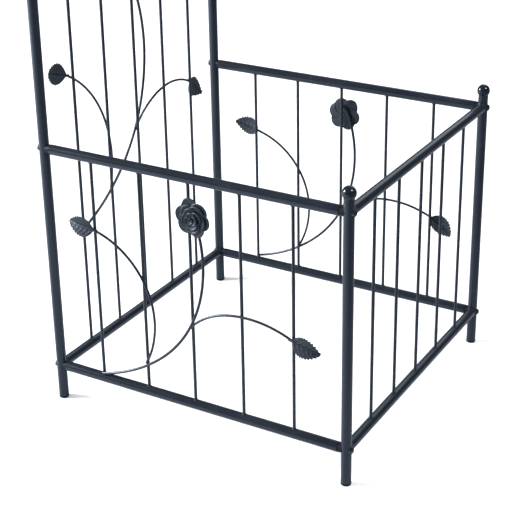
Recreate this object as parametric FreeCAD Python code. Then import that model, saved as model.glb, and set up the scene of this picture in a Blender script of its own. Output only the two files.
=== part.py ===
import FreeCAD, Part
import math
import os

# Garden arch with a plant stand on each side. Each side is a tall trellis panel, bolted to a
# three-sided stand, and the two halves of the arched roof plug into the tall posts.
# Frame: origin on the ground midway between all the feet, +X to the right-hand stand,
# +Y to the rear, +Z up. The way through the arch runs along Y. Sizes are in millimetres.

# Driving sizes
passage_width = 1000.0      # left tall post's axis to right tall post's axis
stand_length = 521.0        # tall post's axis to short post's axis
frame_depth = 492.0         # front post's axis to rear post's axis
low_rail_height = 60.5      # axis of the lowest rails
high_rail_height = 438.5    # axis of the stand's upper rails
joint_height = 1080.0       # where a roof half plugs into the tall posts
spring_height = 1604.0      # where the hoops start to bend
tube_diameter = 16.0
tube_wall = 1.0
rod_diameter = 5.0
rods_per_panel = 5
rungs_per_half = 5
ball_diameter = 21.0

# Fittings
foot_thickness = 4.0
spigot_clearance = 0.1
spigot_length = 16.0
short_post_rise = 21.5      # upper rail's axis to the short post's cut end
collar_length = 5.0         # exposed part of a rail's end plug
collar_diameter = 15.0
plug_depth = 22.0           # part of the end plug inside the rail
bolt_diameter = 6.0
bolt_head_diameter = 10.5
bolt_head_rise = 3.8
bolt_reach = 16.0           # thread engaged past the post
socket_width = 4.0
socket_depth = 2.5
bolt_clearance = 0.2
sleeve_length = 80.0
screw_diameter = 5.0
screw_head_diameter = 9.0
screw_head_rise = 3.0
screw_length = 5.0          # from the tube's surface inwards
rail_to_joint = 45.0        # cross rails above and below each post joint
spring_rail_drop = 20.0     # top cross rail below the start of the bend
fit_gap = 0.05

# Vines: places are measured along from the first post's axis and up from the top of the low
# rail, headings in degrees from the rail, and bends as (radius, degrees turned to the left).
# They are drawn for the panel sizes here and scale with the panel. The welded-on roses and
# leaves sit a little differently on the front and rear panels, so each has a pair of values:
# the rose's place from the stem's end, and the leaf's turn from its branch.
stem_diameter = 4.5
branch_diameter = 4.0
leaf_length = 46.0
leaf_width = 34.0
leaf_thickness = 1.2
leaf_teeth = 10
tooth_depth = 1.6
rose_diameter = 58.0
rose_rise = 9.0
petal_thickness = 1.5
vine_stand_length = 521.0
vine_stand_height = 378.0
vine_frame_depth = 492.0
stand_vine = {
    "stem": {
        "start": (87, 1.5), "heading": 14, "bends": [(292, 26), (227, 44), (234, 25), (40, 30)],
        "rose_place": [(11.5, -17), (1, -17)],
    },
    "branches": [
        {"start": (174, 43.5), "heading": 61, "bends": [(155, 30), (138, 76)],
         "leaf_turn": [7, -1]},
        {"start": (258, 126.5), "heading": 49, "bends": [(118, -37), (174, -38)],
         "leaf_turn": [11, -10]},
    ],
}
side_vine = {
    "stem": {
        "start": (87, 198.5), "heading": 18, "bends": [(292, 22), (275, 34), (262, 42)],
        "rose_place": [(0, 0)],
    },
    "branches": [
        {"start": (167, 242.5), "heading": 73, "bends": [(183, 25), (192, 55)],
         "leaf_turn": [8]},
        {"start": (227, 296.5), "heading": 60, "bends": [(153, -50), (126, -40)],
         "leaf_turn": [-12]},
    ],
}

# Worked out from the driving sizes
half_passage = passage_width / 2
half_depth = frame_depth / 2
stand_end = half_passage + stand_length
tube_radius = tube_diameter / 2
bore_diameter = tube_diameter - 2 * tube_wall
spigot_diameter = bore_diameter - 2 * spigot_clearance
short_post_top = high_rail_height + short_post_rise
stem_offset = rod_diameter / 2 + stem_diameter / 2 + fit_gap
x_axis = FreeCAD.Vector(1, 0, 0)
y_axis = FreeCAD.Vector(0, 1, 0)
z_axis = FreeCAD.Vector(0, 0, 1)
origin = FreeCAD.Vector(0, 0, 0)


def bar(start, direction, length, diameter):
    return Part.makeCylinder(diameter / 2, length, start, direction)


def tube(start, direction, length):
    inside = bar(start, direction, length, bore_diameter)
    return bar(start, direction, length, tube_diameter).cut(inside)


def post_body(x, y):
    return bar(FreeCAD.Vector(x, y, 0), z_axis, spring_height, tube_diameter)


def rail_body(x, height):
    return bar(FreeCAD.Vector(x, -half_depth, height), y_axis, frame_depth, tube_diameter)


def mirrored(shape, normal):
    return shape.mirror(origin, normal)


# Posts and rails

def bolt_hole(x, y, height):
    start = FreeCAD.Vector(x - tube_diameter, y, height)
    return bar(start, x_axis, 2 * tube_diameter, bolt_diameter + 2 * bolt_clearance)


def post(x, top):
    start = FreeCAD.Vector(x, -half_depth, foot_thickness)
    shape = tube(start, z_axis, top - foot_thickness)
    for height in (low_rail_height, high_rail_height):
        shape = shape.cut(bolt_hole(x, -half_depth, height))
    return shape


def tall_post():
    shape = post(half_passage, joint_height)
    return shape.cut(screw_hole(post_screw_place(-1), x_axis))


def cross_rail(x, height):
    shape = tube(FreeCAD.Vector(x, -half_depth, height), y_axis, frame_depth)
    for y in (-half_depth, half_depth):
        shape = shape.cut(post_body(x, y))
    return shape


def bolted_cross_rail(x, height):
    shape = cross_rail(x, height)
    for y in (-half_depth, half_depth):
        shape = shape.cut(bolt_hole(x, y, height))
    return shape


def stand_rail(height):
    setback = tube_radius + collar_length
    start = FreeCAD.Vector(half_passage + setback, -half_depth, height)
    return tube(start, x_axis, stand_length - 2 * setback)


def rail_end_plug(x, inward, height):
    axis = x_axis * inward
    post_axis = FreeCAD.Vector(x, -half_depth, height)
    collar = bar(post_axis, axis, tube_radius + collar_length, collar_diameter)
    collar = collar.cut(post_body(x, -half_depth)).cut(rail_body(x, height))
    spigot_start = post_axis + axis * (tube_radius + collar_length - fit_gap)
    shape = collar.fuse(bar(spigot_start, axis, plug_depth, spigot_diameter))
    thread = bar(post_axis, axis, tube_radius + bolt_reach + 1, bolt_diameter + 2 * fit_gap)
    return shape.cut(thread)


# Rods, set from rail to rail and shaped to the rails' round backs

def rods_between(corner, along, spacing, bottom, top):
    shape = bar(corner + z_axis * bottom, z_axis, top - bottom, rod_diameter)
    for height in (bottom, top):
        start = corner + z_axis * height - along * tube_diameter
        shape = shape.cut(bar(start, along, 2 * tube_diameter, tube_diameter))
    rods = []
    for place in range(1, rods_per_panel + 1):
        rods.append(shape.translated(along * (spacing * place)))
    return Part.makeCompound(rods)


def cross_rods(x, bottom, top):
    corner = FreeCAD.Vector(x, -half_depth, 0)
    return rods_between(corner, y_axis, frame_depth / (rods_per_panel + 1), bottom, top)


def stand_rods():
    corner = FreeCAD.Vector(half_passage, -half_depth, 0)
    spacing = stand_length / (rods_per_panel + 1)
    return rods_between(corner, x_axis, spacing, low_rail_height, high_rail_height)


# Roof half

def hoop_path():
    foot = FreeCAD.Vector(half_passage, -half_depth, joint_height)
    spring = FreeCAD.Vector(half_passage, -half_depth, spring_height)
    straight = Part.LineSegment(foot, spring).toShape()
    bend = Part.Arc(hoop_point(0), hoop_point(45), hoop_point(90)).toShape()
    return Part.Wire([straight, bend])


def hoop_point(degrees):
    angle = math.radians(degrees)
    across = half_passage * math.cos(angle)
    up = half_passage * math.sin(angle)
    return FreeCAD.Vector(across, -half_depth, spring_height + up)


def sweep(path, start, direction, diameter):
    section = Part.Wire(Part.makeCircle(diameter / 2, start, direction))
    return path.makePipeShell([section], True, False)


def hoop_body(diameter):
    foot = FreeCAD.Vector(half_passage, -half_depth, joint_height)
    return sweep(hoop_path(), foot, z_axis, diameter)


def hoop():
    shape = hoop_body(tube_diameter).cut(hoop_body(bore_diameter))
    shape = shape.cut(screw_hole(post_screw_place(1), x_axis))
    place, inward = crown_screw_place()
    return shape.cut(screw_hole(place, inward))


def roof_rungs():
    hoop_front = hoop_body(tube_diameter)
    hoop_rear = mirrored(hoop_front, y_axis)
    pitch = 90 / (rungs_per_half + 0.5)
    rungs = []
    for place in range(1, rungs_per_half + 1):
        rung = bar(hoop_point(pitch * place), y_axis, frame_depth, rod_diameter)
        rungs.append(rung.cut(hoop_front).cut(hoop_rear))
    return Part.makeCompound(rungs)


# Joints between the tall posts and the roof, and between the two roof halves

def post_screw_place(above):
    height = joint_height + above * sleeve_length / 4
    return FreeCAD.Vector(half_passage, -half_depth, height)


def crown_screw_place():
    turn = math.degrees(sleeve_length / 4 / half_passage)
    place = hoop_point(90 - turn)
    outward = place - FreeCAD.Vector(0, -half_depth, spring_height)
    return place, outward.normalize()


def screw_hole(place, inward):
    start = place - inward * (tube_radius + screw_head_rise)
    return bar(start, inward, tube_radius + screw_head_rise, screw_diameter + 2 * fit_gap)


def sleeve(path, start, direction, holes):
    outside = sweep(path, start, direction, spigot_diameter)
    inside = sweep(path, start, direction, spigot_diameter - 2 * tube_wall)
    shape = outside.cut(inside)
    for hole in holes:
        shape = shape.cut(hole)
    return shape


def post_sleeve():
    start = FreeCAD.Vector(half_passage, -half_depth, joint_height - sleeve_length / 2)
    path = Part.Wire(Part.LineSegment(start, start + z_axis * sleeve_length).toShape())
    holes = [screw_hole(post_screw_place(above), x_axis) for above in (-1, 1)]
    return sleeve(path, start, z_axis, holes)


def crown_sleeve():
    reach = math.degrees(sleeve_length / 2 / half_passage)
    start = hoop_point(90 - reach)
    path = Part.Wire(Part.Arc(start, hoop_point(90), hoop_point(90 + reach)).toShape())
    tangent = y_axis.cross(start - FreeCAD.Vector(0, -half_depth, spring_height))
    place, inward = crown_screw_place()
    hole = screw_hole(place, inward)
    return sleeve(path, start, tangent, [hole, mirrored(hole, x_axis)])


def saddle_head(place, inward, diameter, rise):
    crown = place - inward * (tube_radius + rise)
    dome_radius = (diameter ** 2 / 4 + rise ** 2) / (2 * rise) + rise / 2
    dome = Part.makeSphere(dome_radius, crown + inward * dome_radius)
    head = bar(crown, inward, rise + tube_radius / 2, diameter)
    return head.common(dome)


def hex_socket(place, inward):
    corners = []
    for corner in range(7):
        angle = math.radians(60 * corner)
        across = socket_width / math.sqrt(3)
        corners.append(FreeCAD.Vector(0, across * math.cos(angle), across * math.sin(angle)))
    face = Part.Face(Part.makePolygon(corners))
    face.translate(place - inward * (tube_radius + bolt_head_rise))
    return face.extrude(inward * socket_depth)


def panel_bolt(x, inward, height):
    place = FreeCAD.Vector(x, -half_depth, height)
    axis = x_axis * inward
    head = saddle_head(place, axis, bolt_head_diameter, bolt_head_rise)
    head = head.cut(post_body(x, -half_depth))
    if x == stand_end or height == low_rail_height:
        head = head.cut(rail_body(x, height))
    shank = bar(place - axis * tube_radius, axis, tube_diameter + bolt_reach, bolt_diameter)
    return head.fuse(shank).cut(hex_socket(place, axis))


def joint_screw(place, inward, seat):
    head = saddle_head(place, inward, screw_head_diameter, screw_head_rise).cut(seat)
    start = place - inward * (tube_radius + screw_head_rise / 2)
    shank = bar(start, inward, screw_head_rise / 2 + screw_length, screw_diameter)
    return head.fuse(shank)


# Feet and finials

def foot_plug(x):
    flange = bar(FreeCAD.Vector(x, -half_depth, 0), z_axis, foot_thickness, tube_diameter)
    rim = [edge for edge in flange.Edges if edge.BoundBox.ZMax < fit_gap]
    flange = flange.makeFillet(foot_thickness / 3, rim)
    spigot_start = FreeCAD.Vector(x, -half_depth, foot_thickness - fit_gap)
    return flange.fuse(bar(spigot_start, z_axis, spigot_length, spigot_diameter))


def finial():
    seat = FreeCAD.Vector(stand_end, -half_depth, short_post_top)
    ball_radius = max(ball_diameter / 2, tube_radius)
    sunk = math.sqrt(ball_radius ** 2 - tube_radius ** 2)     # the ball's flat just covers the post
    ball = Part.makeSphere(ball_radius, seat + z_axis * sunk)
    ball = ball.cut(bar(seat, z_axis * -1, 2 * ball_radius, 2 * ball_radius))
    spigot = bar(seat - z_axis * spigot_length, z_axis, spigot_length + fit_gap, spigot_diameter)
    return ball.fuse(spigot)


# Vines, drawn flat: x along the rail, y up, z out from the rods

def bent_wire(line, scale, diameter):
    start = FreeCAD.Vector(line["start"][0] * scale, line["start"][1] * scale, stem_offset)
    heading = math.radians(line["heading"])
    direction = FreeCAD.Vector(math.cos(heading), math.sin(heading), 0)
    edges = []
    here = start
    for radius, turn in line["bends"]:
        side = math.copysign(1, turn)
        left = FreeCAD.Vector(-math.sin(heading), math.cos(heading), 0)
        centre = here + left * (side * radius * scale)
        middle = turned(here, centre, turn / 2)
        end = turned(here, centre, turn)
        edges.append(Part.Arc(here, middle, end).toShape())
        here = end
        heading += math.radians(turn)
    return sweep(Part.Wire(edges), start, direction, diameter), here, math.degrees(heading)


def turned(point, centre, degrees):
    return centre + FreeCAD.Rotation(z_axis, degrees).multVec(point - centre)


def leaf(scale):
    length = leaf_length * scale
    left = []
    right = []
    for step in range(2 * leaf_teeth):
        along = (step + 0.5) / (2 * leaf_teeth)
        half_width = leaf_width / 2 * math.sin(math.pi * along ** 0.8) ** 0.65
        half_width -= tooth_depth * (step % 2)
        left.append(FreeCAD.Vector(length * along, half_width * scale, 0))
        right.append(FreeCAD.Vector(length * along, -half_width * scale, 0))
    base = FreeCAD.Vector(0, 0, 0)
    tip = FreeCAD.Vector(length, 0, 0)
    outline = [base] + left + [tip] + right[::-1] + [base]
    blade = Part.Face(Part.makePolygon(outline)).extrude(z_axis * leaf_thickness)
    rib = bar(FreeCAD.Vector(1, 0, leaf_thickness), x_axis, length * 0.9, leaf_thickness)
    return blade.fuse(rib)


def petal_layer(petals, reach, height):
    petal_radius = reach / 2
    discs = []
    for petal in range(petals):
        angle = 2 * math.pi * petal / petals
        centre = FreeCAD.Vector(math.cos(angle), math.sin(angle), 0) * (reach - petal_radius)
        discs.append(bar(centre + z_axis * height, z_axis, petal_thickness, 2 * petal_radius))
    return discs[0].fuse(discs[1:])


def rose(scale):
    outside = rose_diameter / 2 * scale
    rise = rose_rise * scale
    bud_radius = min(outside * 0.22, rise / 2)
    core = bar(origin, z_axis, rise - bud_radius, bud_radius)
    bud = Part.makeSphere(bud_radius, z_axis * (rise - bud_radius))
    layers = [petal_layer(6, outside, 0)]
    layers.append(petal_layer(5, outside * 0.72, rise * 0.3))
    layers.append(petal_layer(4, outside * 0.45, rise * 0.55))
    return core.fuse(layers + [bud])


def vine(plan, scale, panel):
    stem, stem_end, heading = bent_wire(plan["stem"], scale, stem_diameter)
    wires = [stem]
    leaves = []
    for line in plan["branches"]:
        branch, end, heading = bent_wire(line, scale, branch_diameter)
        wires.append(max(branch.cut(stem).Solids, key=lambda solid: solid.Volume))
        blade = leaf(scale)
        blade.rotate(origin, z_axis, heading + line["leaf_turn"][panel])
        blade.translate(end - z_axis * (leaf_thickness / 2))
        leaves.append(blade)
    flower = rose(scale)
    along, up = plan["stem"]["rose_place"][panel]
    offset = FreeCAD.Vector(along * scale, up * scale, stem_diameter / 2 + fit_gap)
    flower.translate(stem_end + offset)
    return {"vine": wires, "leaves": leaves, "roses": [flower]}


def placed(pieces, across, outward, corner):
    turn = FreeCAD.Rotation(across, z_axis, outward, "XYZ")
    moved = {}
    for name, shapes in pieces.items():
        moved[name] = [shape.transformed(FreeCAD.Placement(corner, turn).toMatrix()) for shape in shapes]
    return moved


def stand_vine_pieces(panel):
    height = high_rail_height - low_rail_height
    scale = min(stand_length / vine_stand_length, height / vine_stand_height)
    corner = FreeCAD.Vector(half_passage, -half_depth, low_rail_height + tube_radius)
    return placed(vine(stand_vine, scale, panel), x_axis, y_axis * -1, corner)


def side_vine_pieces():
    scale = frame_depth / vine_frame_depth
    corner = FreeCAD.Vector(half_passage, -half_depth, low_rail_height + tube_radius)
    flat = placed(vine(side_vine, scale, 0), y_axis, x_axis, corner)
    moved = {}
    for name, shapes in flat.items():
        moved[name] = [shape.mirror(corner, x_axis) for shape in shapes]
    return moved


# Nodes

def right_side():
    nodes = {
        "front_tall_post": tall_post(),
        "side_low_rail": bolted_cross_rail(half_passage, low_rail_height),
        "side_high_rail": cross_rail(half_passage, joint_height - rail_to_joint),
        "side_rods": cross_rods(half_passage, low_rail_height, joint_height - rail_to_joint),
        "front_short_post": post(stand_end, short_post_top),
        "end_low_rail": bolted_cross_rail(stand_end, low_rail_height),
        "end_high_rail": bolted_cross_rail(stand_end, high_rail_height),
        "end_rods": cross_rods(stand_end, low_rail_height, high_rail_height),
        "front_low_rail": stand_rail(low_rail_height),
        "front_high_rail": stand_rail(high_rail_height),
        "front_rods": stand_rods(),
        "front_hoop": hoop(),
        "arch_low_rail": cross_rail(half_passage, joint_height + rail_to_joint),
        "arch_high_rail": cross_rail(half_passage, spring_height - spring_rail_drop),
        "arch_rods": cross_rods(half_passage, joint_height + rail_to_joint,
                                spring_height - spring_rail_drop),
        "roof_rungs": roof_rungs(),
    }
    front = stand_vine_pieces(0)
    rear = stand_vine_pieces(1)
    side = side_vine_pieces()
    nodes["front_vine"] = Part.makeCompound(front["vine"])
    nodes["side_vine"] = Part.makeCompound(side["vine"])
    for name in [name for name in nodes if name.startswith("front_")]:
        nodes[name.replace("front_", "rear_")] = mirrored(nodes[name], y_axis)
    for name in ("leaves", "roses"):
        behind = [mirrored(shape, y_axis) for shape in rear[name]]
        nodes[name] = Part.makeCompound(front[name] + behind + side[name])
    return nodes


def four_corners(shapes):
    front = shapes + [mirrored(shape, x_axis) for shape in shapes]
    return Part.makeCompound(front + [mirrored(shape, y_axis) for shape in front])


def fittings():
    rail_ends = []
    bolts = []
    for x, inward in ((half_passage, 1), (stand_end, -1)):
        for height in (low_rail_height, high_rail_height):
            rail_ends.append(rail_end_plug(x, inward, height))
            bolts.append(panel_bolt(x, inward, height))
    place, inward = crown_screw_place()
    tall = post_body(half_passage, -half_depth)
    screws = [joint_screw(post_screw_place(above), x_axis, tall) for above in (-1, 1)]
    screws.append(joint_screw(place, inward, hoop_body(tube_diameter)))
    crown = crown_sleeve()
    sleeves = list(four_corners([post_sleeve()]).Solids) + [crown, mirrored(crown, y_axis)]
    return {
        "rail_end_plugs": four_corners(rail_ends),
        "panel_bolts": four_corners(bolts),
        "foot_plugs": four_corners([foot_plug(half_passage), foot_plug(stand_end)]),
        "finials": four_corners([finial()]),
        "joint_sleeves": Part.makeCompound(sleeves),
        "joint_screws": four_corners(screws),
    }


def build():
    nodes = fittings()
    for name, shape in right_side().items():
        nodes["right_" + name] = shape
        nodes["left_" + name] = mirrored(shape, x_axis)
    return nodes


os.makedirs("parts", exist_ok=True)
for node, shape in build().items():
    shape.exportStep("parts/" + node + ".step")
    print(node, len(shape.Solids), "solids", round(shape.Volume), "mm3", shape.isValid())
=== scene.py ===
import math
import random

import bmesh
import bpy
from mathutils import Matrix, Vector


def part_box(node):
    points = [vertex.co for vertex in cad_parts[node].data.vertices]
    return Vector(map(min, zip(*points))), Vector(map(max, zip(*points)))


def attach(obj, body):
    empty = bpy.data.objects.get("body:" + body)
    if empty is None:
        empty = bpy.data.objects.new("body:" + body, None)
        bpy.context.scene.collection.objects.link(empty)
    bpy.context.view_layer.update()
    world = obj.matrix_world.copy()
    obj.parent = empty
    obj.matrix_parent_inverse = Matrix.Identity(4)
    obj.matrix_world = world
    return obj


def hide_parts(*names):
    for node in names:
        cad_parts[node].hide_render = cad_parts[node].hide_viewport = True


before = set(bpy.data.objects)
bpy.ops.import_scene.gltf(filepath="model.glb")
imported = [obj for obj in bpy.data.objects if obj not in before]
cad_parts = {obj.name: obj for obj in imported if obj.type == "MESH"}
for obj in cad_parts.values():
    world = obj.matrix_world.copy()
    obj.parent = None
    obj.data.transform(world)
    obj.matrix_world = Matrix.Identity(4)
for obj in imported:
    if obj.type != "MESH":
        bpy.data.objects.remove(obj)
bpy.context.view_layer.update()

bpy.ops.object.select_all(action="DESELECT")
print("stage: frame loaded,", len(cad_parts), "nodes")

mm = 0.001
sides = ("left", "right")


# small helpers for working by hand on a mesh

def only(piece):
    bpy.ops.object.select_all(action="DESELECT")
    piece.select_set(True)
    bpy.context.view_layer.objects.active = piece


def editStart(piece):
    only(piece)
    bpy.ops.object.mode_set(mode="EDIT")
    bpy.ops.mesh.select_mode(type="VERT")
    bpy.ops.mesh.select_all(action="SELECT")


def editEnd():
    bpy.ops.object.mode_set(mode="OBJECT")


def pick(piece, test):
    cage = bmesh.from_edit_mesh(piece.data)
    for vert in cage.verts:
        vert.select_set(bool(test(vert.co)))
    cage.select_flush_mode()
    bmesh.update_edit_mesh(piece.data)


def settle(piece):
    only(piece)      # the place goes into the mesh, so the object sits at the origin
    bpy.ops.object.transform_apply(location=True, rotation=True, scale=True)


def finishMods(piece):
    only(piece)
    for mod in list(piece.modifiers):
        bpy.ops.object.modifier_apply(modifier=mod.name)


def copyOf(piece, name, matrix):
    twin = piece.copy()
    twin.data = piece.data.copy()
    twin.name = name
    bpy.context.collection.objects.link(twin)
    twin.matrix_world = matrix
    return twin


def joined(pieces, name):
    bpy.ops.object.select_all(action="DESELECT")
    for piece in pieces:
        piece.select_set(True)
    bpy.context.view_layer.objects.active = pieces[0]
    if len(pieces) > 1:
        bpy.ops.object.join()
    whole = bpy.context.view_layer.objects.active
    whole.name = name
    whole.data.name = name
    settle(whole)
    return whole


def smooth(piece, degrees=40):
    only(piece)
    bpy.ops.object.shade_smooth_by_angle(angle=math.radians(degrees))


def thrown(piece):
    mesh = piece.data
    bpy.data.objects.remove(piece, do_unlink=True)
    bpy.data.meshes.remove(mesh)


# reading places from the frame

def solidsOf(node):
    twin = copyOf(bpy.data.objects[node], "reading", Matrix.Identity(4))
    only(twin)
    bpy.ops.object.mode_set(mode="EDIT")
    bpy.ops.mesh.select_all(action="SELECT")
    bpy.ops.mesh.remove_doubles(threshold=0.002 * mm)
    bpy.ops.mesh.separate(type="LOOSE")
    bpy.ops.object.mode_set(mode="OBJECT")
    found = []
    for piece in list(bpy.context.selected_objects):
        verts = [vert.co.copy() for vert in piece.data.vertices]
        edges = [tuple(edge.vertices) for edge in piece.data.edges]
        found.append((verts, edges))
        thrown(piece)
    return found


def middle(points):
    low = Vector([min(p[i] for p in points) for i in range(3)])
    high = Vector([max(p[i] for p in points) for i in range(3)])
    return (low + high) / 2


# shared surface effects, as node groups

effectPlan = {
    "grainFiner": 4.5, "grainShare": 0.22,                   # the grain's scale and height to the peel's
    "cloudEdge": (0.32, 0.68), "grainEdge": (0.35, 0.65),
    "dustSlope": (0.35, 1.0), "dustEdge": (0.38, 0.75),      # dust lies where the surface faces up
    "scuffTurn": (0.5, 0.3, 0.9), "scuffStretch": (1.0, 0.12, 0.35), "scuffWidth": 0.012,
    "scuffPatch": 22.0, "scuffEdge": (0.56, 0.64),
}


def socketed(name, inputs, outputs):
    group = bpy.data.node_groups.new(name, "ShaderNodeTree")
    for label, kind, value in inputs:
        made = group.interface.new_socket(name=label, in_out="INPUT", socket_type=kind)
        made.default_value = value
    for label, kind in outputs:
        group.interface.new_socket(name=label, in_out="OUTPUT", socket_type=kind)
    return group, group.nodes.new("NodeGroupInput"), group.nodes.new("NodeGroupOutput")


def add(tree, kind, **values):
    node = tree.nodes.new(kind)
    for key, value in values.items():
        if key in node.inputs:
            node.inputs[key].default_value = value
        else:
            setattr(node, key, value)
    return node


def rangeNode(tree, source, fromLow, fromHigh, toLow=0.0, toHigh=1.0):
    node = tree.nodes.new("ShaderNodeMapRange")
    tree.links.new(source, node.inputs["Value"])
    node.inputs["From Min"].default_value = fromLow
    node.inputs["From Max"].default_value = fromHigh
    node.inputs["To Min"].default_value = toLow
    node.inputs["To Max"].default_value = toHigh
    return node.outputs["Result"]


def mathNode(tree, kind, first, second):
    node = tree.nodes.new("ShaderNodeMath")
    node.operation = kind
    for socket, value in zip(node.inputs, (first, second)):
        if isinstance(value, (int, float)):
            socket.default_value = value
        else:
            tree.links.new(value, socket)
    return node.outputs[0]


def coatGroup():
    group, source, result = socketed(
        "powderCoat",
        [("Peel Size", "NodeSocketFloat", 700.0), ("Peel Depth", "NodeSocketFloat", 1.0),
         ("Cloud Size", "NodeSocketFloat", 14.0)],
        [("Height", "NodeSocketFloat"), ("Cloud", "NodeSocketFloat"), ("Grain", "NodeSocketFloat")])
    links = group.links
    place = add(group, "ShaderNodeTexCoord")
    peel = add(group, "ShaderNodeTexNoise", Detail=2.0, Roughness=0.45)
    links.new(place.outputs["Object"], peel.inputs["Vector"])
    links.new(source.outputs["Peel Size"], peel.inputs["Scale"])
    grain = add(group, "ShaderNodeTexNoise", Detail=1.0)
    links.new(place.outputs["Object"], grain.inputs["Vector"])
    finer = mathNode(group, "MULTIPLY", source.outputs["Peel Size"], effectPlan["grainFiner"])
    links.new(finer, grain.inputs["Scale"])
    cloud = add(group, "ShaderNodeTexNoise", Detail=4.0, Roughness=0.6)
    links.new(place.outputs["Object"], cloud.inputs["Vector"])
    links.new(source.outputs["Cloud Size"], cloud.inputs["Scale"])
    fine = mathNode(group, "MULTIPLY", grain.outputs["Fac"], effectPlan["grainShare"])
    height = mathNode(group, "ADD", peel.outputs["Fac"], fine)
    links.new(mathNode(group, "MULTIPLY", height, source.outputs["Peel Depth"]), result.inputs["Height"])
    links.new(rangeNode(group, cloud.outputs["Fac"], *effectPlan["cloudEdge"]), result.inputs["Cloud"])
    links.new(rangeNode(group, grain.outputs["Fac"], *effectPlan["grainEdge"]), result.inputs["Grain"])
    return group


def dustGroup():
    group, source, result = socketed(
        "settledDust",
        [("Amount", "NodeSocketFloat", 0.3), ("Patch Size", "NodeSocketFloat", 60.0)],
        [("Mask", "NodeSocketFloat")])
    links = group.links
    place = add(group, "ShaderNodeTexCoord")
    lie = add(group, "ShaderNodeNewGeometry")
    parts = add(group, "ShaderNodeSeparateXYZ")
    links.new(lie.outputs["Normal"], parts.inputs[0])
    up = rangeNode(group, parts.outputs["Z"], *effectPlan["dustSlope"])
    patch = add(group, "ShaderNodeTexNoise", Detail=5.0, Roughness=0.7)
    links.new(place.outputs["Object"], patch.inputs["Vector"])
    links.new(source.outputs["Patch Size"], patch.inputs["Scale"])
    broken = rangeNode(group, patch.outputs["Fac"], *effectPlan["dustEdge"])
    mask = mathNode(group, "MULTIPLY", up, broken)
    links.new(mathNode(group, "MULTIPLY", mask, source.outputs["Amount"]), result.inputs["Mask"])
    return group


def scuffGroup():
    group, source, result = socketed(
        "fineScuffs",
        [("Amount", "NodeSocketFloat", 0.5), ("Spacing", "NodeSocketFloat", 90.0)],
        [("Mask", "NodeSocketFloat")])
    links = group.links
    place = add(group, "ShaderNodeTexCoord")
    stretch = add(group, "ShaderNodeMapping")
    stretch.inputs["Rotation"].default_value = effectPlan["scuffTurn"]
    stretch.inputs["Scale"].default_value = effectPlan["scuffStretch"]
    links.new(place.outputs["Object"], stretch.inputs["Vector"])
    cells = add(group, "ShaderNodeTexVoronoi", feature="DISTANCE_TO_EDGE")
    links.new(stretch.outputs[0], cells.inputs["Vector"])
    links.new(source.outputs["Spacing"], cells.inputs["Scale"])
    line = rangeNode(group, cells.outputs["Distance"], effectPlan["scuffWidth"], 0.0)
    where = add(group, "ShaderNodeTexNoise", Scale=effectPlan["scuffPatch"], Detail=2.0)
    links.new(place.outputs["Object"], where.inputs["Vector"])
    gate = rangeNode(group, where.outputs["Fac"], *effectPlan["scuffEdge"])
    mask = mathNode(group, "MULTIPLY", line, gate)
    links.new(mathNode(group, "MULTIPLY", mask, source.outputs["Amount"]), result.inputs["Mask"])
    return group


powderCoat = coatGroup()
settledDust = dustGroup()
fineScuffs = scuffGroup()


# materials

def placed(tree, group, **values):
    node = tree.nodes.new("ShaderNodeGroup")
    node.node_tree = group
    for key, value in values.items():
        node.inputs[key.replace("_", " ")].default_value = value
    return node.outputs


def mixed(tree, factor, first, second):
    node = tree.nodes.new("ShaderNodeMix")
    node.data_type = "RGBA"
    tree.links.new(factor, node.inputs["Factor"])
    for socket, value in ((node.inputs["A"], first), (node.inputs["B"], second)):
        if isinstance(value, tuple):
            socket.default_value = (*value, 1.0)
        else:
            tree.links.new(value, socket)
    return node.outputs["Result"]


def paintedMetal(name, look):
    material = bpy.data.materials.new(name)
    material.use_nodes = True
    tree = material.node_tree
    shader = tree.nodes["Principled BSDF"]
    coat = placed(
        tree, powderCoat, Peel_Size=look["peelSize"], Peel_Depth=1.0, Cloud_Size=look["cloudSize"])
    dust = placed(tree, settledDust, Amount=look["dust"], Patch_Size=look["dustSize"])["Mask"]
    scuff = placed(tree, fineScuffs, Amount=look["scuffs"], Spacing=look["scuffSpacing"])["Mask"]
    colour = mixed(tree, coat["Cloud"], look["deep"], look["light"])
    fleck = rangeNode(tree, coat["Grain"], 0.0, 1.0, 0.0, look["fleck"])
    flecked = mixed(tree, fleck, colour, look["fleckColour"])
    dusty = mixed(tree, dust, flecked, look["dustColour"])
    worn = mixed(tree, scuff, dusty, look["scuffColour"])
    tree.links.new(worn, shader.inputs["Base Color"])
    rough = rangeNode(tree, coat["Cloud"], 0.0, 1.0, *look["roughness"])
    for mask, share in ((dust, look["dustRoughness"]), (scuff, look["scuffRoughness"])):
        rough = mathNode(tree, "ADD", rough, mathNode(tree, "MULTIPLY", mask, share))
    tree.links.new(rough, shader.inputs["Roughness"])
    bump = add(tree, "ShaderNodeBump", Strength=look["bump"], Distance=look["bumpDepth"])
    tree.links.new(coat["Height"], bump.inputs["Height"])
    tree.links.new(bump.outputs[0], shader.inputs["Normal"])
    shader.inputs["Metallic"].default_value = look["metallic"]
    shader.inputs["IOR"].default_value = look["ior"]
    shader.inputs["Specular Tint"].default_value = (*look["sheen"], 1)
    return material


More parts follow.
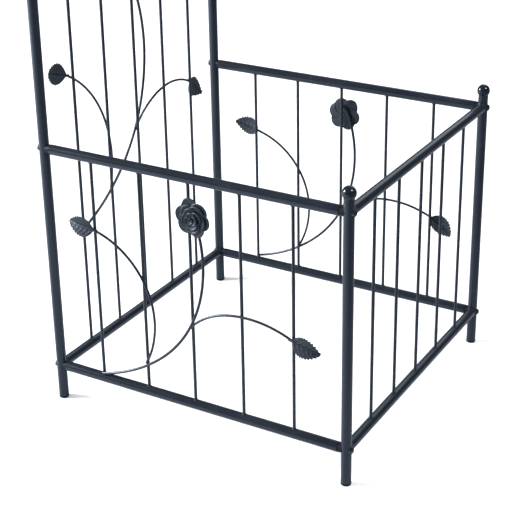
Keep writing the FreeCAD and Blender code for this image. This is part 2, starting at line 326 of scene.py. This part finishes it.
tubeCoatLook = {
    "deep": (0.0080, 0.0106, 0.0152), "light": (0.0120, 0.0156, 0.0218),      # the paint's two tones
    "fleck": 0.25, "fleckColour": (0.022, 0.028, 0.039),
    "dust": 0.04, "dustSize": 55.0, "dustColour": (0.11, 0.13, 0.16), "dustRoughness": 0.35,
    "scuffs": 0.35, "scuffSpacing": 70.0, "scuffColour": (0.050, 0.062, 0.080), "scuffRoughness": 0.2,
    "roughness": (0.12, 0.19), "peelSize": 620.0, "cloudSize": 11.0, "bump": 0.30,
    "bumpDepth": 0.00020, "metallic": 0.0, "ior": 1.5, "sheen": (0.70, 0.83, 1.0),
}
rodCoatLook = dict(
    tubeCoatLook, peelSize=900.0, cloudSize=24.0, roughness=(0.24, 0.34), bumpDepth=0.00015)
vineCoatLook = dict(
    tubeCoatLook, peelSize=1100.0, cloudSize=40.0, roughness=(0.24, 0.34), bumpDepth=0.00012)
flowerCoatLook = dict(
    tubeCoatLook, deep=(0.0085, 0.0112, 0.0158), light=(0.0145, 0.0184, 0.0250), peelSize=950.0,
    cloudSize=90.0, roughness=(0.40, 0.51), bump=0.35, bumpDepth=0.00015)
leafCoatLook = dict(
    flowerCoatLook, deep=(0.0100, 0.0130, 0.0182), light=(0.0165, 0.0208, 0.0284),
    roughness=(0.50, 0.62))
finialCoatLook = dict(
    tubeCoatLook, deep=(0.0060, 0.0080, 0.0115), light=(0.0085, 0.0110, 0.0155),
    roughness=(0.07, 0.11), bump=0.08, bumpDepth=0.00008, scuffs=0.1, dust=0.02)
weldCoatLook = dict(
    tubeCoatLook, peelSize=1400.0, cloudSize=160.0, roughness=(0.30, 0.45), bump=0.6)
boltLook = dict(
    tubeCoatLook, deep=(0.0070, 0.0085, 0.0110), light=(0.0120, 0.0145, 0.0185), ior=1.7,
    roughness=(0.20, 0.32), peelSize=1800.0, bump=0.2, dust=0.02)
plasticLook = dict(
    tubeCoatLook, deep=(0.0028, 0.0034, 0.0045), light=(0.0050, 0.0060, 0.0076), peelSize=2600.0,
    roughness=(0.45, 0.58), bump=0.5, bumpDepth=0.00012, dust=0.02, sheen=(0.22, 0.28, 0.38))

tubeCoat = paintedMetal("tubeCoat", tubeCoatLook)
rodCoat = paintedMetal("rodCoat", rodCoatLook)
vineCoat = paintedMetal("vineCoat", vineCoatLook)
flowerCoat = paintedMetal("flowerCoat", flowerCoatLook)
leafCoat = paintedMetal("leafCoat", leafCoatLook)
finialCoat = paintedMetal("finialCoat", finialCoatLook)
weldCoat = paintedMetal("weldCoat", weldCoatLook)
boltBlack = paintedMetal("boltBlack", boltLook)
plugPlastic = paintedMetal("plugPlastic", plasticLook)
print("stage: materials made")


def finishFor(node):
    if node in ("panel_bolts", "joint_screws"):
        return boltBlack
    if node in ("foot_plugs", "rail_end_plugs"):
        return plugPlastic
    if node == "finials":
        return finialCoat
    if node.endswith(("rods", "rungs")):
        return rodCoat
    if node.endswith("vine"):
        return vineCoat
    return tubeCoat


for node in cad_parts:
    piece = bpy.data.objects[node]
    piece.data.materials.clear()
    piece.data.materials.append(finishFor(node))


def claim(piece, material, slot, *nodes):
    piece.data.materials.clear()
    piece.data.materials.append(material)
    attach(piece, "root")
    if nodes:
        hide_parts(*nodes)


# the pressed rose: four rings of cupped petals round a rolled bud

rosePlan = {
    # outermost ring first: lengths in mm, angles in degrees, cup as a share of the petal's radius
    "rings": [
        {"petals": 6, "radius": 13.0, "cup": 0.15, "out": 13.6, "base": 1.4,
         "tilt": 4, "lean": 7, "turn": 104},
        {"petals": 5, "radius": 11.4, "cup": 0.20, "out": 9.4, "base": 3.4,
         "tilt": 9, "lean": 10, "turn": 50},
        {"petals": 4, "radius": 8.8, "cup": 0.26, "out": 6.2, "base": 5.3,
         "tilt": 14, "lean": 12, "turn": 5},
        {"petals": 3, "radius": 6.0, "cup": 0.36, "out": 3.6, "base": 7.0,
         "tilt": 22, "lean": 15, "turn": 80},
    ],
    # how far the petals stray from even
    "turnPlay": 5, "tiltPlay": 3, "seed": 4,
    # outer petals drawn to a tip
    "points": {0: 3.4, 3: 1.6}, "pointReach": 15.0, "pointFrom": 0.97,
    # the rim's steps are growth and rise
    "lip": 2.6, "lipSteps": ((1.05, 0.10), (1.05, -0.35), (1.02, -0.55)), "thickness": 1.1,
    "petalSegments": 28, "petalRings": 12, "smooth": 50,
    # turn and sweep are the first bud's, and what each next one adds
    "budRadii": (2.9, 1.5), "budTop": 11.2, "budBottom": 5.0, "budStep": 0.5,
    "budRows": 6, "budSteps": 22, "budTurn": (20, 130), "budSweep": (300, -25),
    # the bud's foot against its radius, how it widens, how its lip closes and where that starts
    "budFlare": (0.86, 0.22, 0.30, 0.8),
    # the disc behind the petals
    "backRadius": 9.0, "backDepth": 1.8, "backTaper": 0.8,
    # each next rose on a side is turned by this
    "copyTurn": 25,
}


def cuppedPetal(radius, cup, lip, point):
    bpy.ops.mesh.primitive_uv_sphere_add(
        segments=rosePlan["petalSegments"], ring_count=rosePlan["petalRings"], radius=radius * mm)
    petal = bpy.context.object
    editStart(petal)
    bpy.ops.mesh.bisect(plane_co=(0, 0, 0), plane_no=(0, 0, 1), clear_outer=True)      # keeps the bowl
    bpy.ops.mesh.select_all(action="SELECT")
    bpy.ops.transform.resize(value=(1, 1, cup))
    for grow, rise in rosePlan["lipSteps"]:      # the rim rolls outwards
        edge = max(vert.co.xy.length for vert in bmesh.from_edit_mesh(petal.data).verts)
        pick(petal, lambda co: co.xy.length > edge - 0.01 * mm)
        bpy.ops.mesh.extrude_edges_move(TRANSFORM_OT_translate={"value": (0, 0, lip * rise * mm)})
        bpy.ops.transform.resize(value=(grow, grow, 1))
    if point:
        pick(petal, lambda co: co.x > edge * rosePlan["pointFrom"])
        bpy.ops.transform.translate(
            value=(point * mm, 0, 0), use_proportional_edit=True, proportional_edit_falloff="LINEAR",
            proportional_size=rosePlan["pointReach"] * mm)
    editEnd()
    return petal


def rolledBud(radius, top, bottom, start, sweep):
    bpy.ops.mesh.primitive_grid_add(x_subdivisions=1, y_subdivisions=rosePlan["budRows"], size=1)
    petal = bpy.context.object
    foot, widen, close, lip = rosePlan["budFlare"]
    for vert in petal.data.vertices:
        rise = vert.co.y + 0.5
        flare = radius * (foot + widen * rise - close * max(0.0, rise - lip))
        vert.co = Vector((flare, 0, bottom + (top - bottom) * rise)) * mm
    only(petal)
    bpy.ops.object.mode_set(mode="EDIT")
    bpy.ops.mesh.select_all(action="SELECT")
    bpy.ops.mesh.remove_doubles(threshold=0.001 * mm)
    bpy.ops.mesh.select_all(action="SELECT")
    bpy.ops.mesh.spin(
        steps=rosePlan["budSteps"], angle=math.radians(sweep), center=(0, 0, 0), axis=(0, 0, 1))
    bpy.ops.mesh.select_all(action="SELECT")
    bpy.ops.mesh.remove_doubles(threshold=0.001 * mm)
    bpy.ops.mesh.normals_make_consistent(inside=False)
    editEnd()
    petal.matrix_world = Matrix.Rotation(math.radians(start), 4, "Z")
    return petal


def makeRose():
    random.seed(rosePlan["seed"])
    turnPlay, tiltPlay = rosePlan["turnPlay"], rosePlan["tiltPlay"]
    petals = []
    for ring in rosePlan["rings"]:
        for place in range(ring["petals"]):
            point = rosePlan["points"].get(place, 0) if ring is rosePlan["rings"][0] else 0
            petal = cuppedPetal(ring["radius"], ring["cup"], rosePlan["lip"], point)
            angle = 360 * place / ring["petals"] + ring["turn"] + random.uniform(-turnPlay, turnPlay)
            tilt = -ring["tilt"] + random.uniform(-tiltPlay, tiltPlay)
            push = Vector((ring["out"], 0, ring["base"] + ring["radius"] * ring["cup"])) * mm
            petal.matrix_world = (
                Matrix.Rotation(math.radians(angle), 4, "Z") @ Matrix.Translation(push)
                @ Matrix.Rotation(math.radians(tilt), 4, "Y")
                @ Matrix.Rotation(math.radians(ring["lean"]), 4, "X"))
            petals.append(petal)
    for place, radius in enumerate(rosePlan["budRadii"]):
        top = rosePlan["budTop"] - rosePlan["budStep"] * (1 - place)
        start = rosePlan["budTurn"][0] + rosePlan["budTurn"][1] * place
        sweep = rosePlan["budSweep"][0] + rosePlan["budSweep"][1] * place
        petals.append(rolledBud(radius, top, rosePlan["budBottom"], start, sweep))
    for petal in petals:
        settle(petal)
        wall = petal.modifiers.new("wall", "SOLIDIFY")
        wall.thickness = rosePlan["thickness"] * mm
        wall.offset = 0
        rounding = petal.modifiers.new("round", "SUBSURF")
        rounding.levels = 1
        rounding.render_levels = 1
        finishMods(petal)
    depth = rosePlan["backDepth"] * mm
    bpy.ops.mesh.primitive_cylinder_add(
        vertices=32, radius=rosePlan["backRadius"] * mm, depth=depth, location=(0, 0, depth / 2))
    back = bpy.context.object
    editStart(back)
    pick(back, lambda co: co.z > 0)
    bpy.ops.transform.resize(value=(rosePlan["backTaper"], rosePlan["backTaper"], 1))
    editEnd()
    rose = joined(petals + [back], "roseMaster")
    smooth(rose, rosePlan["smooth"])
    return rose


panelLine = 0.24      # the stands' front and rear panels lie further out than this along y


def facing(outward):
    across = Vector((0, 0, 1)).cross(outward).normalized()      # local x lies level, y stands up
    return Matrix((across, Vector((0, 0, 1)), outward)).transposed().to_4x4()


def outwardAt(spot, side):
    if abs(spot.y) > panelLine:
        return Vector((0, math.copysign(1, spot.y), 0))
    return Vector((-side, 0, 0))


def placeRoses():
    master = makeRose()
    outer = rosePlan["rings"][0]
    size = 2 * (outer["out"] + outer["radius"]) * mm      # the drawn-out tips pass it
    for name, side in zip(sides, (-1, 1)):
        copies = []
        for number, (verts, edges) in enumerate(solidsOf(name + "_roses")):
            spot = middle(verts)
            outward = outwardAt(spot, side)
            width = max(vert.z for vert in verts) - min(vert.z for vert in verts)
            depth = max(vert.dot(outward) for vert in verts) - min(vert.dot(outward) for vert in verts)
            back = Matrix.Translation(spot - outward * depth / 2)
            fit = Matrix.Diagonal((width / size, width / size, depth / master.dimensions.z, 1))
            turn = Matrix.Rotation(math.radians(rosePlan["copyTurn"] * number), 4, "Z")
            low = min(corner[2] for corner in master.bound_box)
            seat = Matrix.Translation((0, 0, -low))
            copies.append(copyOf(master, "rose", back @ facing(outward) @ fit @ turn @ seat))
        whole = joined(copies, name + "Roses")
        smooth(whole, rosePlan["smooth"])
        claim(whole, flowerCoat, "flower_coat", name + "_roses")
    thrown(master)


placeRoses()
print("stage: roses made")


# the pressed leaf: serrated blade, raised rib and side veins

leafPlan = {
    "length": 46.0, "width": 36.4, "widest": 0.8, "fullness": 0.65,                # the outline, in mm
    "teeth": 10, "tooth": 3.4, "toothRake": 1.3, "toothFrom": 0.6, "toothFade": (6, 8),
    "rib": 2.2, "ribWidth": 0.9, "groove": 1.5, "groovePlace": 2.3, "grooveWidth": 1.0,
    "vein": 0.65, "veins": 6, "veinSlant": 0.95, "veinSharp": 4, "veinStart": 2.5,
    "fold": 0.16, "cup": 1.0, "arch": 1.6, "droop": 1.8, "thickness": 0.9, "along": 100, "across": 32,
    "stalk": 7.0, "stalkRadius": 2.3, "stalkUnder": 16, "stalkThinFrom": 10, "stalkThin": 0.3,
    "stalkRise": 1.6, "stalkEnd": 0.8, "stalkEndTaper": 0.7, "smooth": 60,
}


def leafShape(along, across):
    plan = leafPlan
    reach = min(max(along, 0.0), 1.0)
    half = 0.0
    if 0 < reach < 1:
        half = plan["width"] / 2 * math.sin(math.pi * reach ** plan["widest"]) ** plan["fullness"]
    step = reach * plan["teeth"]
    baseFade, tipFade = plan["toothFade"]
    notch = plan["tooth"] * (1 - step % 1.0) * min(1.0, baseFade * reach, tipFade * (1 - reach))
    rim = max(0.0, (abs(across) - plan["toothFrom"]) / (1 - plan["toothFrom"]))
    y = across * half - math.copysign(notch * rim ** 2, across)
    x = plan["length"] * reach + plan["toothRake"] * rim ** 2 * (step % 1.0 - 0.5)
    away = abs(y)
    rib = plan["rib"] * math.exp(-(away / plan["ribWidth"]) ** 2) * (1 - reach) ** 0.5
    groove = -plan["groove"] * math.exp(-((away - plan["groovePlace"]) / plan["grooveWidth"]) ** 2)
    phase = (reach * plan["length"] - away * plan["veinSlant"]) / plan["length"] * plan["veins"]
    ridge = (0.5 + 0.5 * math.cos(2 * math.pi * phase)) ** plan["veinSharp"]
    vein = plan["vein"] * ridge * min(1.0, away / plan["veinStart"]) * max(0.0, 1 - abs(across) ** 4)
    curl = plan["fold"] * away - plan["cup"] * (away / plan["width"] * 2) ** 2
    bend = plan["arch"] * math.sin(math.pi * reach) - plan["droop"] * reach ** 3
    return Vector((x, y, rib + groove + vein + curl + bend)) * mm


def makeLeaf():
    plan = leafPlan
    bpy.ops.mesh.primitive_grid_add(x_subdivisions=plan["along"], y_subdivisions=plan["across"], size=1)
    blade = bpy.context.object
    for vert in blade.data.vertices:
        vert.co = leafShape(vert.co.x + 0.5, 2 * vert.co.y)
    editStart(blade)
    bpy.ops.mesh.remove_doubles(threshold=0.01 * mm)
    bpy.ops.mesh.normals_make_consistent(inside=False)
    editEnd()
    wall = blade.modifiers.new("wall", "SOLIDIFY")
    wall.thickness = plan["thickness"] * mm
    wall.offset = 0
    finishMods(blade)
    under, thin, taper = plan["stalkUnder"], plan["stalkThin"], plan["stalkEndTaper"]
    bpy.ops.mesh.primitive_cylinder_add(
        vertices=16, radius=plan["stalkRadius"] * mm, depth=(plan["stalk"] + under) * mm,
        location=((under - plan["stalk"]) / 2 * mm, 0, 0), rotation=(0, math.radians(90), 0))
    stalk = bpy.context.object
    settle(stalk)
    editStart(stalk)
    pick(stalk, lambda co: co.x > plan["stalkThinFrom"] * mm)
    bpy.ops.transform.resize(value=(1, thin, thin), center_override=(0, 0, 0))
    bpy.ops.transform.translate(value=(0, 0, plan["stalkRise"] * mm))
    pick(stalk, lambda co: co.x < 0)
    bpy.ops.mesh.extrude_region_move(TRANSFORM_OT_translate={"value": (-plan["stalkEnd"] * mm, 0, 0)})
    bpy.ops.transform.resize(value=(1, taper, taper), center_override=(0, 0, 0))
    editEnd()
    leaf = joined([blade, stalk], "leafMaster")
    smooth(leaf, plan["smooth"])
    return leaf


def placeLeaves():
    master = makeLeaf()
    for name, side in zip(sides, (-1, 1)):
        copies = []
        for verts, edges in solidsOf(name + "_leaves"):
            centre = sum(verts, Vector()) / len(verts)
            spot = middle(verts)
            outward = outwardAt(spot, side)
            tip = max(verts, key=lambda vert: (vert - centre).length)
            base = max(verts, key=lambda vert: (vert - tip).length)
            base -= outward * (base - spot).dot(outward)
            tip = tip - outward * (tip - spot).dot(outward)
            along = (tip - base).normalized()
            turn = Matrix((along, outward.cross(along), outward)).transposed().to_4x4()
            scale = (tip - base).length / (leafPlan["length"] * mm)
            fit = Matrix.Diagonal((scale, scale, scale, 1))
            copies.append(copyOf(master, "leaf", Matrix.Translation(base) @ turn @ fit))
        whole = joined(copies, name + "Leaves")
        smooth(whole, leafPlan["smooth"])
        claim(whole, leafCoat, "flower_coat", name + "_leaves")
    thrown(master)


placeLeaves()
print("stage: leaves made")


# weld beads: round the rods' ends, along the rails' saddles and where the vine touches

weldPlan = {
    "rodRing": 2.7, "rodBead": 1.05, "rodBeadFlat": 0.85, "rodBeadShake": 0.22, "lift": 0.4,
    "railBead": 1.35, "railSteps": 96, "ripples": 26, "rippleThin": 0.85, "rippleSwell": 0.22,
    "tackLength": 2.6, "tackWidth": 1.7, "tackShake": 0.18, "tackOnVine": 0.55, "wireGap": 4.0,
    "seed": 11, "smooth": 60,
}


def rodBead():
    bpy.ops.mesh.primitive_torus_add(
        major_segments=16, minor_segments=8, major_radius=weldPlan["rodRing"] * mm,
        minor_radius=weldPlan["rodBead"] * mm)
    bead = bpy.context.object
    editStart(bead)
    bpy.ops.transform.resize(value=(1, 1, weldPlan["rodBeadFlat"]))
    bpy.ops.transform.vertex_random(offset=weldPlan["rodBeadShake"] * mm, seed=weldPlan["seed"])
    editEnd()
    return bead


def tackBead():
    bpy.ops.mesh.primitive_uv_sphere_add(segments=12, ring_count=8, radius=1 * mm)
    tack = bpy.context.object
    editStart(tack)
    width = weldPlan["tackWidth"]
    bpy.ops.transform.resize(value=(weldPlan["tackLength"], width, width))
    bpy.ops.transform.vertex_random(offset=weldPlan["tackShake"] * mm, seed=weldPlan["seed"] + 1)
    editEnd()
    return tack


def railBead(tubeRadius):
    steps = weldPlan["railSteps"]
    route = bpy.data.curves.new("railBead", "CURVE")
    route.dimensions = "3D"
    route.bevel_depth = weldPlan["railBead"] * mm
    route.bevel_resolution = 3
    line = route.splines.new("POLY")
    line.points.add(steps - 1)
    line.use_cyclic_u = True
    for step, point in enumerate(line.points):
        turn = 2 * math.pi * step / steps
        across = tubeRadius * math.cos(turn)
        up = tubeRadius * math.sin(turn)
        out = math.sqrt(max(0.0, tubeRadius ** 2 - across ** 2))
        point.co = (across, out, up, 1)
        swell = math.sin(weldPlan["ripples"] * turn) ** 2
        point.radius = weldPlan["rippleThin"] + weldPlan["rippleSwell"] * swell
    bead = bpy.data.objects.new("railBead", route)
    bpy.context.collection.objects.link(bead)
    only(bead)
    bpy.ops.object.convert(target="MESH")
    return bpy.context.object


def crossings(verts, edges, axis, level):
    hits = []
    for first, second in edges:
        a, b = verts[first][axis] - level, verts[second][axis] - level
        if a * b < 0:
            hits.append(verts[first].lerp(verts[second], a / (a - b)))
    hits.sort(key=lambda spot: spot.z)
    groups = []
    for spot in hits:
        if groups and spot.z - groups[-1][-1].z < weldPlan["wireGap"] * mm:
            groups[-1].append(spot)
        else:
            groups.append([spot])
    return [middle(group) for group in groups if len(group) > 3]


def rodWeldsOf(name, ring):
    lift = weldPlan["lift"] * mm
    beads = []
    for rods in ("side_rods", "end_rods", "front_rods", "rear_rods", "arch_rods"):
        for verts, edges in solidsOf(name + "_" + rods):
            spot = middle(verts)
            for height, sign in ((min(v.z for v in verts), 1), (max(v.z for v in verts), -1)):
                place = Matrix.Translation((spot.x, spot.y, height + sign * lift))
                spin = Matrix.Rotation(random.uniform(0, 6), 4, "Z")
                beads.append(copyOf(ring, "bead", place @ spin))
    flat = Matrix.Rotation(math.radians(90), 4, "X")
    for verts, edges in solidsOf(name + "_roof_rungs"):
        spot = middle(verts)
        for depth, sign in ((min(v.y for v in verts), 1), (max(v.y for v in verts), -1)):
            place = Matrix.Translation((spot.x, depth + sign * lift, spot.z))
            spin = Matrix.Rotation(random.uniform(0, 6), 4, "Z")
            beads.append(copyOf(ring, "bead", place @ flat @ spin))
    return beads


def railWeldsOf(name, saddle):
    beads = []
    for panel in ("side", "end", "arch"):
        for rail in ("low_rail", "high_rail"):
            low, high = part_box("_".join((name, panel, rail)))
            centre = (Vector(low) + Vector(high)) / 2
            for end, turn in ((low[1], 0), (high[1], 180)):
                place = Matrix.Translation((centre.x, end, centre.z))
                beads.append(copyOf(saddle, "bead", place @ Matrix.Rotation(math.radians(turn), 4, "Z")))
    return beads


def vineTacksOf(name, tack):
    share = weldPlan["tackOnVine"]
    beads = []
    for panel, axis in (("front", 0), ("rear", 0), ("side", 1)):
        rodSpots = [middle(verts) for verts, edges in solidsOf(name + "_" + panel + "_rods")]
        lie = Matrix.Rotation(math.radians(90 * axis), 4, "Z")
        for verts, edges in solidsOf(name + "_" + panel + "_vine"):
            for rod in rodSpots:
                for spot in crossings(verts, edges, axis, rod[axis]):
                    between = spot.copy()
                    between[1 - axis] = rod[1 - axis] * (1 - share) + spot[1 - axis] * share
                    beads.append(copyOf(tack, "tack", Matrix.Translation(between) @ lie))
    return beads


def makeWelds():
    random.seed(weldPlan["seed"])
    ring = rodBead()
    tack = tackBead()
    low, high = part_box("right_side_low_rail")
    saddle = railBead((high.z - low.z) / 2)
    kinds = (
        ("RodWelds", rodWeldsOf, ring),
        ("RailWelds", railWeldsOf, saddle),
        ("VineTacks", vineTacksOf, tack))
    for name in sides:
        for label, gather, master in kinds:
            welds = joined(gather(name, master), name + label)
            smooth(welds, weldPlan["smooth"])
            claim(welds, weldCoat, "frame_coat")
    for piece in (ring, tack, saddle):
        thrown(piece)


makeWelds()
print("stage: welds made")


# floor, lights and camera

floorPlan = {
    "size": 8.0, "colour": (0.86, 0.865, 0.87), "roughness": 0.75,
    "bounced": (0.43, 0.465, 0.51), "shaded": (0.14, 0.152, 0.168),      # as all but the camera sees it
    "fade": (0.95, 1.60),                                                # bounced turns to shaded along x
}


def makeFloor():
    bpy.ops.mesh.primitive_plane_add(size=floorPlan["size"], location=(0, 0, 0))
    floor = bpy.context.object
    floor.name = "floor"
    material = bpy.data.materials.new("paleFloor")
    material.use_nodes = True
    tree = material.node_tree
    shader = tree.nodes["Principled BSDF"]
    ray = add(tree, "ShaderNodeLightPath")
    place = add(tree, "ShaderNodeSeparateXYZ")
    tree.links.new(add(tree, "ShaderNodeTexCoord").outputs["Object"], place.inputs[0])
    fade = rangeNode(tree, place.outputs["X"], *floorPlan["fade"])
    mirrored = mixed(tree, fade, floorPlan["bounced"], floorPlan["shaded"])
    tone = mixed(tree, ray.outputs["Is Camera Ray"], mirrored, floorPlan["colour"])
    tree.links.new(tone, shader.inputs["Base Color"])
    shader.inputs["Roughness"].default_value = floorPlan["roughness"]
    floor.data.materials.append(material)


lightPlan = {
    "colour": (0.94, 0.96, 1.0),
    "sky": 0.80, "seen": 1.05,                        # the room as it lights, and as the camera sees it
    "window": 1.6, "room": 0.06,                      # the room as polished paint mirrors it
    "windowHeading": (-0.130, 0.803, 0.582), "windowEdge": (0.930, 0.968),
    "lamps": [
        {"name": "leftSoftbox", "place": (-2.83, -1.79, 1.92), "size": 2.0, "watts": 430},
        {"name": "rightSoftbox", "place": (3.70, -0.06, 3.68), "size": 1.6, "watts": 128},
    ],
    "aim": (0.8, 0.0, 0.4),
}


def makeLights():
    world = bpy.data.worlds.new("paleRoom")
    world.use_nodes = True
    tree = world.node_tree
    back = tree.nodes["Background"]
    back.inputs["Color"].default_value = (*lightPlan["colour"], 1)
    ray = add(tree, "ShaderNodeLightPath")
    aimed = add(tree, "ShaderNodeVectorMath", operation="DOT_PRODUCT")
    tree.links.new(add(tree, "ShaderNodeTexCoord").outputs["Generated"], aimed.inputs[0])
    aimed.inputs[1].default_value = lightPlan["windowHeading"]
    window = rangeNode(
        tree, aimed.outputs["Value"], *lightPlan["windowEdge"], lightPlan["room"], lightPlan["window"])
    bright = lightPlan["sky"]
    seenBy = ((ray.outputs["Is Glossy Ray"], window), (ray.outputs["Is Camera Ray"], lightPlan["seen"]))
    for share, level in seenBy:
        change = mathNode(tree, "MULTIPLY", share, mathNode(tree, "SUBTRACT", level, bright))
        bright = mathNode(tree, "ADD", bright, change)
    tree.links.new(bright, back.inputs["Strength"])
    bpy.context.scene.world = world
    for lamp in lightPlan["lamps"]:
        data = bpy.data.lights.new(lamp["name"], "AREA")
        data.shape = "DISK"
        data.size = lamp["size"]
        data.energy = lamp["watts"]
        light = bpy.data.objects.new(lamp["name"], data)
        light.location = lamp["place"]
        aim = Vector(lightPlan["aim"]) - Vector(lamp["place"])
        light.rotation_euler = aim.to_track_quat("-Z", "Y").to_euler()
        bpy.context.collection.objects.link(light)


cameraPlan = {
    "place": (1.765, -1.750, 1.170), "azimuth": 29.36, "elevation": 22.64, "roll": -0.51,
    "lens": 94.28, "shift": (-0.05, -0.13),
}


def makeCamera():
    data = bpy.data.cameras.new("camera")
    data.sensor_width = 36
    data.lens = cameraPlan["lens"]
    data.shift_x, data.shift_y = cameraPlan["shift"]
    camera = bpy.data.objects.new("camera", data)
    bpy.context.collection.objects.link(camera)
    camera.matrix_world = (
        Matrix.Translation(cameraPlan["place"])
        @ Matrix.Rotation(math.radians(cameraPlan["azimuth"]), 4, "Z")
        @ Matrix.Rotation(math.radians(90 - cameraPlan["elevation"]), 4, "X")
        @ Matrix.Rotation(math.radians(cameraPlan["roll"]), 4, "Z"))
    bpy.context.scene.camera = camera


makeFloor()
makeLights()
makeCamera()
bpy.context.scene.view_settings.view_transform = "Standard"
print("stage: floor, lights and camera made")
